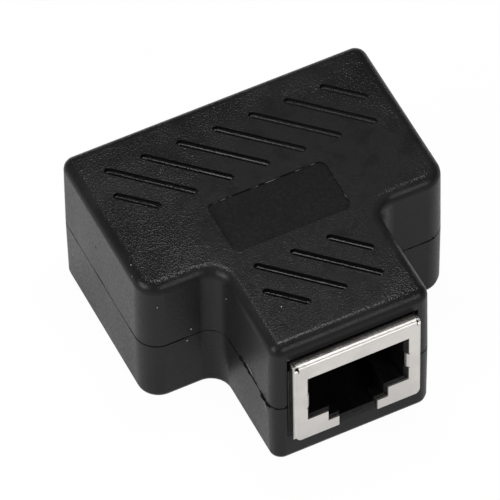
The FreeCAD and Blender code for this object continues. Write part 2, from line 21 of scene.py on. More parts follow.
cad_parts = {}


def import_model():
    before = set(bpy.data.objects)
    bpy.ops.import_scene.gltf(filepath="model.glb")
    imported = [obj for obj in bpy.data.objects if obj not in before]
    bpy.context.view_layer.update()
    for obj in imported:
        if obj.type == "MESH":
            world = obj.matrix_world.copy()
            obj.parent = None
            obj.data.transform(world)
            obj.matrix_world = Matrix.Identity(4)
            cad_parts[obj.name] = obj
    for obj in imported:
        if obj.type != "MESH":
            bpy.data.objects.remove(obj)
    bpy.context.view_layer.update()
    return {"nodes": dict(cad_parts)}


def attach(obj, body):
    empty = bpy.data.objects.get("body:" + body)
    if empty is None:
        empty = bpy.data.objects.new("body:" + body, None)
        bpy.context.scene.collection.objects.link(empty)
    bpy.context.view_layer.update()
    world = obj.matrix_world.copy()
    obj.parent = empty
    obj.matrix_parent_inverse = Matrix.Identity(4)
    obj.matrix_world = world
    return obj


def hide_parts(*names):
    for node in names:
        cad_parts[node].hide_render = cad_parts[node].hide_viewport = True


Point = tuple[float, float, float]
Span = tuple[float, float]
Link = bpy.types.NodeSocket
Material = bpy.types.Material
Piece = bpy.types.Object

LOG = logging.getLogger("splitter")
MM = 0.001
WHITE = (1, 1, 1, 1)
MATH = "ShaderNodeMath"
VECTOR_MATH = "ShaderNodeVectorMath"


class Socket(Enum):
    """The three sockets, by the name that their nodes start with."""

    FRONT = "front"
    LEFT = "left"
    RIGHT = "right"


class Half(Enum):
    """The two moulded halves of the housing, by node name."""

    UPPER = "upper_shell"
    LOWER = "lower_shell"


class RayShare(Enum):
    """Light Path outputs that see the studio's bright background."""

    CAMERA = "Is Camera Ray"
    GLOSSY = "Is Glossy Ray"
    TRANSMISSION = "Is Transmission Ray"


def linear(hex_colour: str) -> tuple[float, float, float, float]:
    """Turns an sRGB hex colour into Blender's linear colour.

    Args:
        hex_colour: Six hex digits, such as "1c1c1d".

    Returns:
        Linear red, green and blue, and an alpha of 1.
    """
    channels = []
    for start in (0, 2, 4):
        value = int(hex_colour[start : start + 2], 16) / 255
        channels.append(value / 12.92 if value <= 0.04045 else ((value + 0.055) / 1.055) ** 2.4)
    return (*channels, 1.0)


class NodeTools:
    """Adds nodes to one shader or geometry tree."""

    def __init__(self, tree: bpy.types.NodeTree) -> None:
        """Takes the tree.

        Args:
            tree: Tree that gets the nodes.
        """
        self.tree = tree

    def add(
        self,
        kind: str,
        settings: dict[str, object] | None = None,
        inputs: dict[str | int, object] | tuple[object, ...] = (),
        output: str | int = 0,
    ) -> Link | None:
        """Adds one node, with its settings, values and incoming links.

        Args:
            kind: Blender's name for the node's type.
            settings: Attributes of the node itself.
            inputs: Value or output socket for each named or numbered input, or for the first ones in order.
            output: Name or number of the output that is wanted.

        Returns:
            That output of the new node, or None for a node without outputs.
        """
        node = self.tree.nodes.new(kind)
        for name, value in (settings or {}).items():
            setattr(node, name, value)
        given = inputs if isinstance(inputs, dict) else dict(enumerate(inputs))
        for key, value in given.items():
            if isinstance(value, Link):
                self.tree.links.new(value, node.inputs[key])
            else:
                node.inputs[key].default_value = value
        return node.outputs[output] if node.outputs else None

    def product(self, first: Link, *others: Link | float) -> Link:
        """Multiplies values.

        Args:
            first: A socket.
            others: Numbers or sockets.

        Returns:
            Their product.
        """
        for other in others:
            first = self.add(MATH, {"operation": "MULTIPLY"}, (first, other))
        return first


class Paint(NodeTools):
    """Base of the finishes: one node material while it is being made, with its coordinates in metres."""

    def start(self, name: str) -> None:
        """Starts an empty material.

        Args:
            name: Name of the real material.
        """
        self.material = bpy.data.materials.new(name)
        self.material.use_nodes = True
        self.tree = self.material.node_tree
        self.tree.nodes.clear()
        self.place = self.add("ShaderNodeTexCoord", output="Object")

    def axis(self, name: str) -> Link:
        """Takes one Object coordinate.

        Args:
            name: X, Y or Z.

        Returns:
            The coordinate, in metres.
        """
        return self.add("ShaderNodeSeparateXYZ", inputs={0: self.place}, output=name)

    def ramp(self, value: Link, levels: Span, results: Span = (0, 1), unit: float = 1) -> Link:
        """Maps a value smoothly from one range to another and holds it at both ends.

        Args:
            value: What is mapped.
            levels: Low and high value.
            results: What they give.
            unit: Factor for the levels, such as MM.

        Returns:
            The mapped value.
        """
        ends = {"From Min": levels[0] * unit, "From Max": levels[1] * unit}
        goals = {"To Min": results[0], "To Max": results[1]}
        settings = {"interpolation_type": "SMOOTHSTEP"}
        return self.add("ShaderNodeMapRange", settings, {"Value": value, **ends, **goals})

    def noise(
        self, grain_mm: float, detail: float, rough: float = 0.5, stretch: Point | None = None
    ) -> Link:
        """Adds a noise pattern of a real size.

        Args:
            grain_mm: Size of one light and dark pair, in millimetres.
            detail: Octaves of finer noise.
            rough: Strength of each finer octave.
            stretch: Factors for the three coordinates, where they aren't all 1.

        Returns:
            The noise's height from 0 to 1.
        """
        place = self.place
        if stretch is not None:
            place = self.add("ShaderNodeMapping", inputs={"Vector": place, "Scale": stretch})
        inputs = {"Vector": place, "Scale": 1 / (grain_mm * MM), "Detail": detail, "Roughness": rough}
        return self.add("ShaderNodeTexNoise", inputs=inputs)

    def pits(self, pit_mm: float) -> Link:
        """Adds round pits side by side, as a spark leaves them.

        Args:
            pit_mm: Mean distance between pits, in millimetres.

        Returns:
            Height over the pits' lowest points: 0 in the middle of a pit, up to about 0.5 between pits.
        """
        inputs = {"Vector": self.place, "Scale": 1 / (pit_mm * MM)}
        distance = self.add("ShaderNodeTexVoronoi", inputs=inputs, output="Distance")
        return self.product(distance, distance)

    def inside(self, value: Link, centre: float, half: float, soft: float) -> Link:
        """Marks a band of one coordinate, with sizes in millimetres.

        Args:
            value: The coordinate, in metres.
            centre: Middle of the band.
            half: Half its width.
            soft: Width over which it fades out.

        Returns:
            1 in the band and 0 outside it.
        """
        return self.ramp(self.away(value, centre * MM), (half, half + soft), (1, 0), MM)

    def rectangle(self, centre_y: float, half_x: float, half_y: float, soft: float) -> Link:
        """Marks a rectangle in plan, midway between left and right, with sizes in millimetres.

        Args:
            centre_y: Its middle from front to back.
            half_x: Half its width.
            half_y: Half its depth.
            soft: Width over which it fades out.

        Returns:
            1 in the rectangle and 0 outside it.
        """
        across = self.inside(self.axis("X"), 0, half_x, soft)
        return self.product(across, self.inside(self.axis("Y"), centre_y, half_y, soft))

    def near(self, place_mm: Point, distances: Span) -> Link:
        """Marks what lies near a point.

        Args:
            place_mm: The point, in millimetres.
            distances: Where the mark starts to fade and where it has gone, in millimetres.

        Returns:
            1 near the point and 0 away from it.
        """
        point = tuple(value * MM for value in place_mm)
        distance = self.add(VECTOR_MATH, {"operation": "DISTANCE"}, (self.place, point), "Value")
        return self.ramp(distance, distances, (1, 0), MM)

    def towards(self, value: Link, amount: Link, goal: float) -> Link:
        """Moves a value towards another one.

        Args:
            value: Value where amount is 0.
            amount: Share of the way.
            goal: Value where amount is 1.

        Returns:
            The moved value.
        """
        return self.add("ShaderNodeMix", {"data_type": "FLOAT"}, {0: amount, 2: value, 3: goal})

    def blended(self, amount: Link, first: Link | str, second: str) -> Link:
        """Mixes two colours.

        Args:
            amount: 0 gives the first colour and 1 the second.
            first: Socket or hex colour.
            second: Hex colour.

        Returns:
            The mixed colour.
        """
        start = linear(first) if isinstance(first, str) else first
        return self.add("ShaderNodeMix", {"data_type": "RGBA"}, {0: amount, 6: start, 7: linear(second)}, 2)

    def bump(self, height: Link, distance_mm: float, strength: float, normal: Link | None = None) -> Link:
        """Turns a height into a relief.

        Args:
            height: The height.
            distance_mm: What a height of 1 stands for, in millimetres.
            strength: Strength from 0 to 1.
            normal: The normal before the relief, where it isn't the shape's own.

        Returns:
            The normal to shade with.
        """
        inputs = {"Height": height, "Distance": distance_mm * MM, "Strength": strength}
        if normal is not None:
            inputs["Normal"] = normal
        return self.add("ShaderNodeBump", inputs=inputs)

    def away(self, value: Link, centre: Link | float) -> Link:
        """Finds how far a value is from another.

        Args:
            value: The value.
            centre: The other value.

        Returns:
            Their difference without its sign.
        """
        difference = self.add(MATH, {"operation": "SUBTRACT"}, (value, centre))
        return self.add(MATH, {"operation": "ABSOLUTE"}, (difference,))

    def close(self, shader: Link) -> Material:
        """Ends the tree with its output.

        Args:
            shader: Shader that the surface shows.

        Returns:
            The finished material.
        """
        self.add("ShaderNodeOutputMaterial", inputs={"Surface": shader})
        return self.material

    def surface(
        self, colour: Link, roughness: Link, normal: Link, metallic: float = 0.0, specular_level: float = 0.5
    ) -> Material:
        """Ends the tree with the surface that shows.

        Args:
            colour: Its base colour.
            roughness: Its roughness.
            normal: The normal to shade with.
            metallic: 1 for a metal.
            specular_level: Strength of a plastic's gloss.

        Returns:
            The finished material.
        """
        inputs = {
            "Base Color": colour,
            "Roughness": roughness,
            "Normal": normal,
            "Metallic": metallic,
            "Specular IOR Level": specular_level,
        }
        return self.close(self.add("ShaderNodeBsdfPrincipled", inputs=inputs))


@dataclass(frozen=True)
class HousingPlan:
    """Sizes of the housing that its finish follows, in millimetres."""

    height: float = 20.6
    parting: float = 9.9
    panel_centre_y: float = 0.45
    panel_half_x: float = 7.45
    panel_half_y: float = 3.85
    panel_depth: float = 0.3
    bar_grooves_y: float = 10.2
    stem_grooves_y: float = -9.62
    grooves_half_y: float = 4.2
    bar_grooves_half_x: float = 16.4
    stem_grooves_half_x: float = 7.3
    groove_depth: float = 0.58

    @property
    def middle(self) -> float:
        """Height of the housing's middle."""
        return self.height / 2


@dataclass
class SparkTexturedAbs(Paint):
    """Black ABS moulded against a spark-eroded tool: a fine dull grain on the broad faces that breaks the
    light into specks, smoother drafted side walls that turn grey where they mirror the pale surroundings,
    and a polished panel. Fields that end in levels are noise values between which something fades in."""

    plan: HousingPlan
    colour: str = "19191a"
    worn_colour: str = "222223"
    worn_levels: Span = (0.4, 0.7)
    smear_levels: Span = (0.3, 0.65)
    smear_shares: Span = (0.45, 1.5)
    broad_fade_mm: Span = (0.5, 0.05)
    pit_mm: float = 0.22
    pit_height_mm: float = 0.046
    shallow_share: float = 0.65
    patch_levels: Span = (0.3, 0.62)
    fine_grain_mm: float = 0.13
    fine_height_mm: float = 0.012
    wave_mm: float = 8.0
    wave_height_mm: float = 0.085
    mottle_mm: float = 7.0
    mottle_gloss: float = 0.12
    speckle_mm: float = 0.4
    speckle_gloss: float = 0.3
    rubbed_place: Point = (4.0, 0.0, 20.6)
    rubbed_mm: Span = (9.0, 19.0)
    stem_rubbed_place: Point = (-2.0, -10.0, 20.6)
    stem_rubbed_mm: Span = (7.0, 13.0)
    rubbed_share: float = 0.35
    wall_grain_share: float = 0.34
    panel_grain_share: float = 0.3
    groove_grain_share: float = 0.45
    face_roughness: float = 0.22
    wall_roughness: float = 0.34
    specular_level: float = 0.12
    panel_roughness: float = 0.26
    panel_fade_mm: float = 0.05
    top_fade_mm: float = 1.0
    panel_wall_shares: Span = (0.7, 0.3)
    # Painted highlight: pale colour in stretches at the foot of the panel's walls stands in for glints.
    painted_glint_colour: str = "a0a0a2"
    painted_glint_heights: Span = (0.01, 0.1)
    painted_glint_fades_mm: Span = (0.02, 0.03)
    painted_glint_reach_mm: float = 0.1
    painted_glint_mm: float = 2.2
    painted_glint_levels: Span = (0.51, 0.6)
    # Painted shade: the grooves' darker base colour stands in for the shade on their floors.
    groove_painted_shade_colour: str = "0b0b0c"
    groove_roughness: float = 0.1
    groove_fade_mm: float = 0.2
    groove_mouth_mm: Span = (0.08, 0.02)
    groove_foot: float = 3.0
    groove_foot_top_mm: float = 0.3
    groove_dulling: float = 0.3
    dulled_x_mm: Span = (-5.0, 8.0)
    # Painted shade: a near-black, dull band along the pinched parting line.
    parting_shade_colour: str = "020202"
    parting_shade_roughness: float = 1.0
    pinch_mm: Span = (0.05, 0.15)
    pinch_width_grain_mm: float = 5.0
    pinch_levels: Span = (0.35, 0.65)
    pinch_wander_mm: float = 0.12
    pinch_wander_grain_mm: float = 2.5
    line_fade_mm: float = 0.02
    dust_colour: str = "b9b6b0"
    dust_place: Point = (-6.1, -12.5, 20.6)
    dust_fade_mm: Span = (0.0525, 0.075)

    def __post_init__(self) -> None:
        """Starts the material and marks where a point lies on the moulding: 1 in a place, 0 elsewhere."""
        self.start("spark_textured_black_abs")
        middle = self.plan.middle
        inner, outer = self.broad_fade_mm
        self.from_middle = self.away(self.axis("Z"), middle * MM)
        self.broad = self.ramp(self.from_middle, (middle - inner, middle - outer), unit=MM)
        self.panel = self._panel()
        self.groove = self._grooves()
        on_bar = self.near(self.rubbed_place, self.rubbed_mm)
        on_stem = self.near(self.stem_rubbed_place, self.stem_rubbed_mm)
        self.rubbed = self.add(MATH, {"operation": "MAXIMUM"}, (on_bar, on_stem))
        self.parting_shade = self._painted_parting_shade()
        self.mottle = self.noise(self.mottle_mm, 3.0)

    def build(self) -> Material:
        """Makes the material.

        Returns:
            The finished material.
        """
        relief = self.bump(self._height(), 1.0, 1.0, self._rounded_foot())
        return self.surface(self._tint(), self._gloss(), relief, specular_level=self.specular_level)

    def _height(self) -> Link:
        """Builds the grain up from pits, finer grain and slow waves.

        Returns:
            The height, in millimetres.
        """
        share = self.ramp(self.broad, (0, 1), (self.wall_grain_share, 1))
        share = self.towards(share, self.panel, self.panel_grain_share)
        share = self.towards(share, self.groove, self.groove_grain_share)
        deepest = self.pit_height_mm
        patches = self.noise(self.mottle_mm / 2, 2.0)
        depth = self.ramp(patches, self.patch_levels, (self.shallow_share * deepest, deepest))
        depth = self.product(depth, self.ramp(self.rubbed, (0, 1), (1, self.rubbed_share)))
        grain = self.product(self.pits(self.pit_mm), depth)
        fine = self.product(self.noise(self.fine_grain_mm, 1.0), self.fine_height_mm)
        height = self.product(self.add(MATH, {"operation": "ADD"}, (grain, fine)), share)
        inputs = (self.noise(self.wave_mm, 2.0), self.wave_height_mm, height)
        return self.add(MATH, {"operation": "MULTIPLY_ADD"}, inputs)

    def _tint(self) -> Link:
        """Mixes the plastic's colour from what has worn or settled on it, with painted shade in the grooves
        and along the parting line and painted glints at the foot of the panel's walls.

        Returns:
            The colour.
        """
        smears = self.ramp(self.noise(self.mottle_mm / 3, 3.0), self.smear_levels, self.smear_shares)
        mottled = self.ramp(self.mottle, self.worn_levels)
        worn = self.add(MATH, {"operation": "MAXIMUM"}, (mottled, self.product(self.rubbed, smears)))
        worn = self.product(self.broad, self.towards(worn, self.panel, 0))
        plastic = self.blended(worn, self.colour, self.worn_colour)
        # Painted shade: the grooves are darkened in their base colour.
        plastic = self.blended(self.groove, plastic, self.groove_painted_shade_colour)
        # Painted highlight: pale stretches at the foot of the panel's walls stand in for glints.
        plastic = self.blended(self._painted_glints(), plastic, self.painted_glint_colour)
        # Painted shade: the parting line is darkened to near black.
        plastic = self.blended(self.parting_shade, plastic, self.parting_shade_colour)
        return self.blended(self.near(self.dust_place, self.dust_fade_mm), plastic, self.dust_colour)

    def _gloss(self) -> Link:
        """Finds how rough the plastic is.

        Returns:
            The roughness.
        """
        roughness = self.ramp(self.broad, (0, 1), (self.wall_roughness, self.face_roughness))
        roughness = self.towards(roughness, self.panel, self.panel_roughness)
        roughness = self.towards(roughness, self.groove, self.groove_roughness)
        dulled = self.ramp(self.axis("X"), self.dulled_x_mm, (0, self.groove_dulling), MM)
        on_bar = self.add(MATH, {"operation": "GREATER_THAN"}, (self.axis("Y"), 0.0))
        dulling = self.product(self.groove, dulled, on_bar)
        roughness = self.add(MATH, {"operation": "ADD"}, (roughness, dulling))
        speckle = self.add(MATH, {"operation": "SUBTRACT"}, (self.noise(self.speckle_mm, 3.0), 0.5))
        cloud = self.add(MATH, {"operation": "SUBTRACT"}, (self.mottle, 0.5))
        uneven = self.product(cloud, self.mottle_gloss)
        uneven = self.add(MATH, {"operation": "MULTIPLY_ADD"}, (speckle, self.speckle_gloss, uneven))
        roughness = self.add(MATH, {"operation": "ADD"}, (roughness, uneven))
        return self.towards(roughness, self.parting_shade, self.parting_shade_roughness)

    def _panel(self) -> Link:
        """Marks the polished panel, which lies lower than the textured face round it.

        Returns:
            1 on the panel and 0 elsewhere.
        """
        plan = self.plan
        area = self.rectangle(plan.panel_centre_y, plan.panel_half_x, plan.panel_half_y, self.panel_fade_mm)
        low, high = (plan.height - plan.panel_depth * share for share in self.panel_wall_shares)
        sunk = self.ramp(self.axis("Z"), (low, high), (1, 0), MM)
        on_top = self.ramp(self.axis("Z"), (plan.middle, plan.middle + self.top_fade_mm), unit=MM)
        return self.product(area, sunk, on_top)

    def _painted_glints(self) -> Link:
        """Marks stretches at the foot of the panel's walls that get painted glints: pale colour that stands
        in for a highlight.

        Returns:
            1 on a painted glint and 0 elsewhere.
        """
        plan = self.plan
        half_x, half_y = (half + self.painted_glint_reach_mm for half in (plan.panel_half_x, plan.panel_half_y))
        area = self.rectangle(plan.panel_centre_y, half_x, half_y, self.line_fade_mm)
        floor = plan.height - plan.panel_depth
        low, high = (floor + height for height in self.painted_glint_heights)
        fade_in, fade_out = self.painted_glint_fades_mm
        above = self.ramp(self.axis("Z"), (low, low + fade_in), unit=MM)
        below = self.ramp(self.axis("Z"), (high, high + fade_out), (1, 0), MM)
        stretches = self.ramp(self.noise(self.painted_glint_mm, 3.0), self.painted_glint_levels)
        return self.product(area, above, below, stretches)

    def _grooves(self) -> Link:
        """Marks what lies under the broad face within the two fields of grooves.

        Returns:
            1 in a groove and 0 elsewhere.
        """
        plan = self.plan
        fields = (
            (plan.bar_grooves_y, plan.bar_grooves_half_x),
            (plan.stem_grooves_y, plan.stem_grooves_half_x),
        )
        depth, fade = plan.grooves_half_y, self.groove_fade_mm
        areas = tuple(self.rectangle(centre, width, depth, fade) for centre, width in fields)
        low, high = (plan.middle - below for below in self.groove_mouth_mm)
        under = self.ramp(self.from_middle, (low, high), (1, 0), MM)
        return self.product(self.add(MATH, {"operation": "MAXIMUM"}, areas), under)

    def _rounded_foot(self) -> Link:
        """Turns the foot of a groove's walls towards its floor, so that the two flow into each other.

        Returns:
            The normal before the grain.
        """
        face = self.plan.middle
        foot = (face - self.plan.groove_depth, face - self.groove_foot_top_mm)
        deep = self.ramp(self.from_middle, foot, (1, 0), MM)
        above = self.add(MATH, {"operation": "SUBTRACT"}, (self.axis("Z"), face * MM))
        side = self.add(MATH, {"operation": "SIGN"}, (above,))
        lift = self.product(self.groove, deep, self.groove_foot, side)
        outwards = self.add("ShaderNodeCombineXYZ", inputs={"Z": lift})
        shape = self.add("ShaderNodeNewGeometry", output="Normal")
        turned = self.add(VECTOR_MATH, {"operation": "ADD"}, (shape, outwards))
        return self.add(VECTOR_MATH, {"operation": "NORMALIZE"}, (turned,))

    def _painted_parting_shade(self) -> Link:
        """Marks the painted shade along the parting line, where the two halves were pinched: a dull dark
        band, now wider and now finer.

        Returns:
            1 on the line and 0 elsewhere.
        """
        swing = self.add(MATH, {"operation": "SUBTRACT"}, (self.noise(self.pinch_wander_grain_mm, 2.0), 0.5))
        inputs = (swing, self.pinch_wander_mm * MM, self.plan.parting * MM)
        centre = self.add(MATH, {"operation": "MULTIPLY_ADD"}, inputs)
        off_line = self.away(self.axis("Z"), centre)
        fine, wide = self.pinch_mm
        width = self.noise(self.pinch_width_grain_mm, 2.0)
        half = self.ramp(width, self.pinch_levels, (fine * MM, wide * MM))
        past = self.add(MATH, {"operation": "SUBTRACT"}, (off_line, half))
        return self.ramp(past, (0, self.line_fade_mm), (1, 0), MM)


@dataclass
class NickelPlatedSheet(Paint):
    """Nickel-plated brass sheet, rolled, stamped and folded: a bright grey metal with faint rolling lines
    and a slightly uneven gloss, so its flat face mirrors the pale floor softly and its folds gleam. Real
    rolling lines are too fine to show, so they are drawn as coarse as they need to be."""

    colour: str = "d1ceca"
    dull_colour: str = "c8c5c1"
    dull_levels: Span = (0.35, 0.7)
    roughness: Span = (0.15, 0.22)
    roughness_levels: Span = (0.3, 0.75)
    fold_roughness: float = 0.3
    fold_mm: Span = (18.98, 19.48)
    fold_fade_mm: float = 0.04
    rolling_mm: float = 0.16
    rolling_stretch: Point = (0.06, 1.0, 1.0)
    rolling_height_mm: float = 0.0016
    cloud_mm: float = 3.5

    def build(self) -> Material:
        """Makes the material.

        Returns:
            The finished material.
        """
        self.start("nickel_plated_sheet")
        lines = self.noise(self.rolling_mm, 2.0, 0.55, self.rolling_stretch)
        cloud = self.noise(self.cloud_mm, 4.0, 0.6)
        low, high = self.fold_mm
        off_middle = self.add(MATH, {"operation": "ABSOLUTE"}, (self.axis("Y"),))
        fold = self.inside(off_middle, (low + high) / 2, (high - low) / 2, self.fold_fade_mm)
        cloudy = self.ramp(cloud, self.roughness_levels, self.roughness)
        return self.surface(
            self.blended(self.ramp(cloud, self.dull_levels), self.colour, self.dull_colour),
            self.add(MATH, {"operation": "MULTIPLY_ADD"}, (fold, self.fold_roughness, cloudy)),
            self.bump(lines, self.rolling_height_mm, 1.0),
            metallic=1.0,
        )


@dataclass
class GrainedFinish(Paint):
    """A finish whose colour, gloss and relief all follow one grain."""

    name: str
    colour: str
    roughness: Span
    grain_mm: float = 0.1
    detail: float = 2.0
    rough: float = 0.5
    stretch: Point | None = None
    second_colour: str = ""
    colour_levels: Span = (0.45, 0.7)
    roughness_levels: Span = (0.3, 0.7)
    relief_mm: float = 0.0
    relief_strength: float = 0.0
    metallic: float = 0.0
    specular_level: float = 0.5

    def build(self) -> Material:
        """Makes the material.

        Returns:
            The finished material.
        """
        self.start(self.name)
        grain = self.noise(self.grain_mm, self.detail, self.rough, self.stretch)
        second = self.second_colour or self.colour
        return self.surface(
            self.blended(self.ramp(grain, self.colour_levels), self.colour, second),
            self.ramp(grain, self.roughness_levels, self.roughness),
            self.bump(grain, self.relief_mm, self.relief_strength),
            self.metallic,
            self.specular_level,
        )


@dataclass
class FilledPbt(GrainedFinish):
    """Glass-filled black PBT, the jack's moulded body: near black and half-matte, with faint flow streaks
    from the fibres."""

    name: str = "glass_filled_black_pbt"
    colour: str = "060607"
    roughness: Span = (0.44, 0.6)
    grain_mm: float = 0.5
    detail: float = 3.0
    rough: float = 0.6
    stretch: Point | None = (1.0, 0.25, 1.0)
    second_colour: str = "0f0f10"
    roughness_levels: Span = (0.2, 0.8)
    relief_mm: float = 0.004
    relief_strength: float = 0.8
    specular_level: float = 0.15


@dataclass
class GoldPlatedBronze(GrainedFinish):
    """Gold flash over nickel on formed bronze strip: warm and bright, paler in patches."""

    name: str = "gold_plated_bronze"
    colour: str = "e0b45c"
    roughness: Span = (0.22, 0.36)
    grain_mm: float = 0.9
    detail: float = 4.0
    rough: float = 0.6
    second_colour: str = "d9c79c"
    colour_levels: Span = (0.5, 0.72)
    relief_mm: float = 0.003
    relief_strength: float = 0.6
    metallic: float = 1.0


@dataclass
class BrightSolder(GrainedFinish):
    """Tin solder, set from the melt: bright, with a faintly crystalline skin."""

    name: str = "bright_tin_solder"
    colour: str = "c9cacc"
    roughness: Span = (0.2, 0.38)
    grain_mm: float = 0.12
    relief_mm: float = 0.004
    relief_strength: float = 0.7
    metallic: float = 1.0


@dataclass
class PlainFinish(GrainedFinish):
    """A finish for small trim: one colour with a fine uneven gloss."""

    specular_level: float = 0.12


@dataclass
class SolderMask(Paint):
    """Green solder resist over glass-epoxy laminate: glossy, with the laminate's weave faintly telling."""

    colour: str = "1c6b3c"
    dark_colour: str = "135030"
    roughness: Span = (0.3, 0.42)
    roughness_levels: Span = (0.3, 0.7)
    cloud_mm: float = 2.5
    weave_mm: float = 0.55
    weave_height_mm: float = 0.002

    def build(self) -> Material:
        """Makes the material.

        Returns:
            The finished material.
        """
        self.start("green_solder_mask")
        inputs = {"Vector": self.place, "Scale": 1 / (self.weave_mm * MM)}
        weave = self.add("ShaderNodeTexChecker", inputs=inputs, output="Fac")
        cloud = self.noise(self.cloud_mm, 3.0)
        return self.surface(
            self.blended(cloud, self.colour, self.dark_colour),
            self.ramp(cloud, self.roughness_levels, self.roughness),
            self.bump(weave, self.weave_height_mm, 0.4),
        )


@dataclass
class StudioPaper(Paint):
    """White paper sweep under the object. It shows white to the camera and in gloss, and keeps a faint
    shadow."""

    bounce_colour: str = "e8e8e8"
    glow: float = 1.0
    shadow_share: float = 0.03
    mirrored_shadow_share: float = 0.45
    tooth_mm: float = 1.4
    tooth_height_mm: float = 0.01

    def build(self) -> Material:
        """Makes the material.

        Returns:
            The finished material.
        """
        self.start("white_studio_paper")
        path = self.add("ShaderNodeLightPath").node.outputs
        tooth = self.bump(self.noise(self.tooth_mm, 2.0), self.tooth_height_mm, 1.0)
        colour = linear(self.bounce_colour)
        both = self.add("ShaderNodeBsdfDiffuse", inputs={"Color": colour, "Normal": tooth})
        shares = {
            RayShare.GLOSSY: self.mirrored_shadow_share,
            RayShare.TRANSMISSION: self.shadow_share,
            RayShare.CAMERA: self.shadow_share,
        }
        for ray, share in shares.items():
            white = self.add("ShaderNodeEmission", inputs={"Color": WHITE, "Strength": self.glow - share})
            faint = self.add("ShaderNodeBsdfDiffuse", inputs={"Color": (share, share, share, 1)})
            lit = self.add("ShaderNodeAddShader", inputs={0: white, 1: faint})
            inputs = {0: path[ray.value], 1: both, 2: lit}
            both = self.add("ShaderNodeMixShader", inputs=inputs)
        return self.close(both)


def dress(piece: Piece, material: Material) -> None:
    """Gives a whole piece one material.

    Args:
        piece: Mesh object.
        material: Its finish.
    """
    piece.data.materials.clear()
    piece.data.materials.append(material)


def link_object(name: str, data: bpy.types.ID) -> Piece:
    """Puts a mesh, curve, lamp or camera into the scene as an object at the origin.

    Args:
        name: The object's name.
        data: Its data, which a mesh or curve has in the row's frame in metres.

    Returns:
        The object.
    """
    piece = bpy.data.objects.new(name, data)
    bpy.context.scene.collection.objects.link(piece)
    return piece


class PieceTree(NodeTools):
    """One Geometry Nodes tree with named inputs, which is baked to a plain mesh."""

    def __init__(self, name: str, inputs: dict[str, float | int | Material]) -> None:
        """Makes the tree, its geometry sockets and its named inputs.

        Args:
            name: The tree's name.
            inputs: Value of each named input.
        """
        super().__init__(bpy.data.node_groups.new(name, "GeometryNodeTree"))
        self.inputs = inputs
        self.sockets = {}
        face = self.tree.interface
        face.new_socket("Geometry", in_out="INPUT", socket_type="NodeSocketGeometry")
        face.new_socket("Geometry", in_out="OUTPUT", socket_type="NodeSocketGeometry")
        kinds = {int: "NodeSocketInt", float: "NodeSocketFloat", Material: "NodeSocketMaterial"}
        for label, value in inputs.items():
            socket = face.new_socket(label, in_out="INPUT", socket_type=kinds[type(value)])
            self.sockets[label] = socket.identifier
        self.given = self.add("NodeGroupInput").node.outputs

    def bake(self, piece_name: str, source: Piece, geometry: Link) -> Piece:
        """Ends the tree in Realize Instances and Set Material, and keeps what it makes as a plain mesh.

        Args:
            piece_name: Name of the finished piece.
            source: Object that carries the input geometry. It is removed.
            geometry: What the tree has made.

        Returns:
            The finished piece at the origin.
        """
        real = self.add("GeometryNodeRealizeInstances", inputs={0: geometry})
        inputs = {"Geometry": real, "Material": self.given["Material"]}
        painted = self.add("GeometryNodeSetMaterial", inputs=inputs)
        self.add("NodeGroupOutput", inputs={0: painted})
        modifier = source.modifiers.new(self.tree.name, "NODES")
        modifier.node_group = self.tree
        for label, value in self.inputs.items():
            modifier[self.sockets[label]] = value
        graph = bpy.context.evaluated_depsgraph_get()
        mesh = bpy.data.meshes.new_from_object(source.evaluated_get(graph))
        source.modifiers.remove(modifier)
        bpy.data.objects.remove(source)
        mesh.name = piece_name
        return link_object(piece_name, mesh)


def tidy_copy(
    node: Piece, name: str, crease_deg: float, merge_mm: float = 0.0005, flat_deg: float = 0.5
) -> Piece:
    """Copies a CAD node, joins its loose triangles and shades its curves smooth.

    Args:
        node: The CAD node's object, which isn't changed.
        name: Name of the copy.
        crease_deg: Edges that bend more than this stay sharp.
        merge_mm: Corners closer than this are joined.
        flat_deg: Triangles that bend less than this become one face.

    Returns:
        The copy, at the origin.
    """
    mesh = node.data.copy()
    mesh.name = name
    shape = bmesh.new()
    shape.from_mesh(mesh)
    bmesh.ops.remove_doubles(shape, verts=shape.verts, dist=merge_mm * MM)
    flat, crease = math.radians(flat_deg), math.radians(crease_deg)
    bmesh.ops.dissolve_limit(shape, angle_limit=flat, verts=shape.verts, edges=shape.edges)
    for face in shape.faces:
        face.smooth = True
    for edge in shape.edges:
        edge.smooth = len(edge.link_faces) == 2 and edge.calc_face_angle(math.pi) < crease
    shape.to_mesh(mesh)
    shape.free()
    if "custom_normal" in mesh.attributes:
        mesh.attributes.remove(mesh.attributes["custom_normal"])
    return link_object(name, mesh)


def keep_flats_flat(piece: Piece, weight: int = 50) -> None:
    """Lets the broad faces rule the shading, so that only the steps of a rounding blend.

    Args:
        piece: Mesh object whose curves are shaded smooth.
        weight: How strongly they rule it.
    """
    ruled = piece.modifiers.new("broad_faces_rule", "WEIGHTED_NORMAL")
    ruled.mode = "FACE_AREA"
    ruled.weight = weight
    ruled.keep_sharp = True


@dataclass
class Housing:
    """The two moulded halves of the T-shaped housing."""

    nodes: dict[str, Piece]
    plan: HousingPlan
    crease_deg: float = 50.0

    def dress(self) -> list[Piece]:
        """Replaces each half by a joined copy with smooth curves in textured plastic.

        Returns:
            The two finished halves.
        """
        finish = SparkTexturedAbs(self.plan).build()
        halves = []
        for half in Half:
            piece = tidy_copy(self.nodes[half.value], half.value + "_moulding", self.crease_deg)
            keep_flats_flat(piece)
            dress(piece, finish)
            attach(piece, "root")
            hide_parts(half.value)
            halves.append(piece)
        return halves


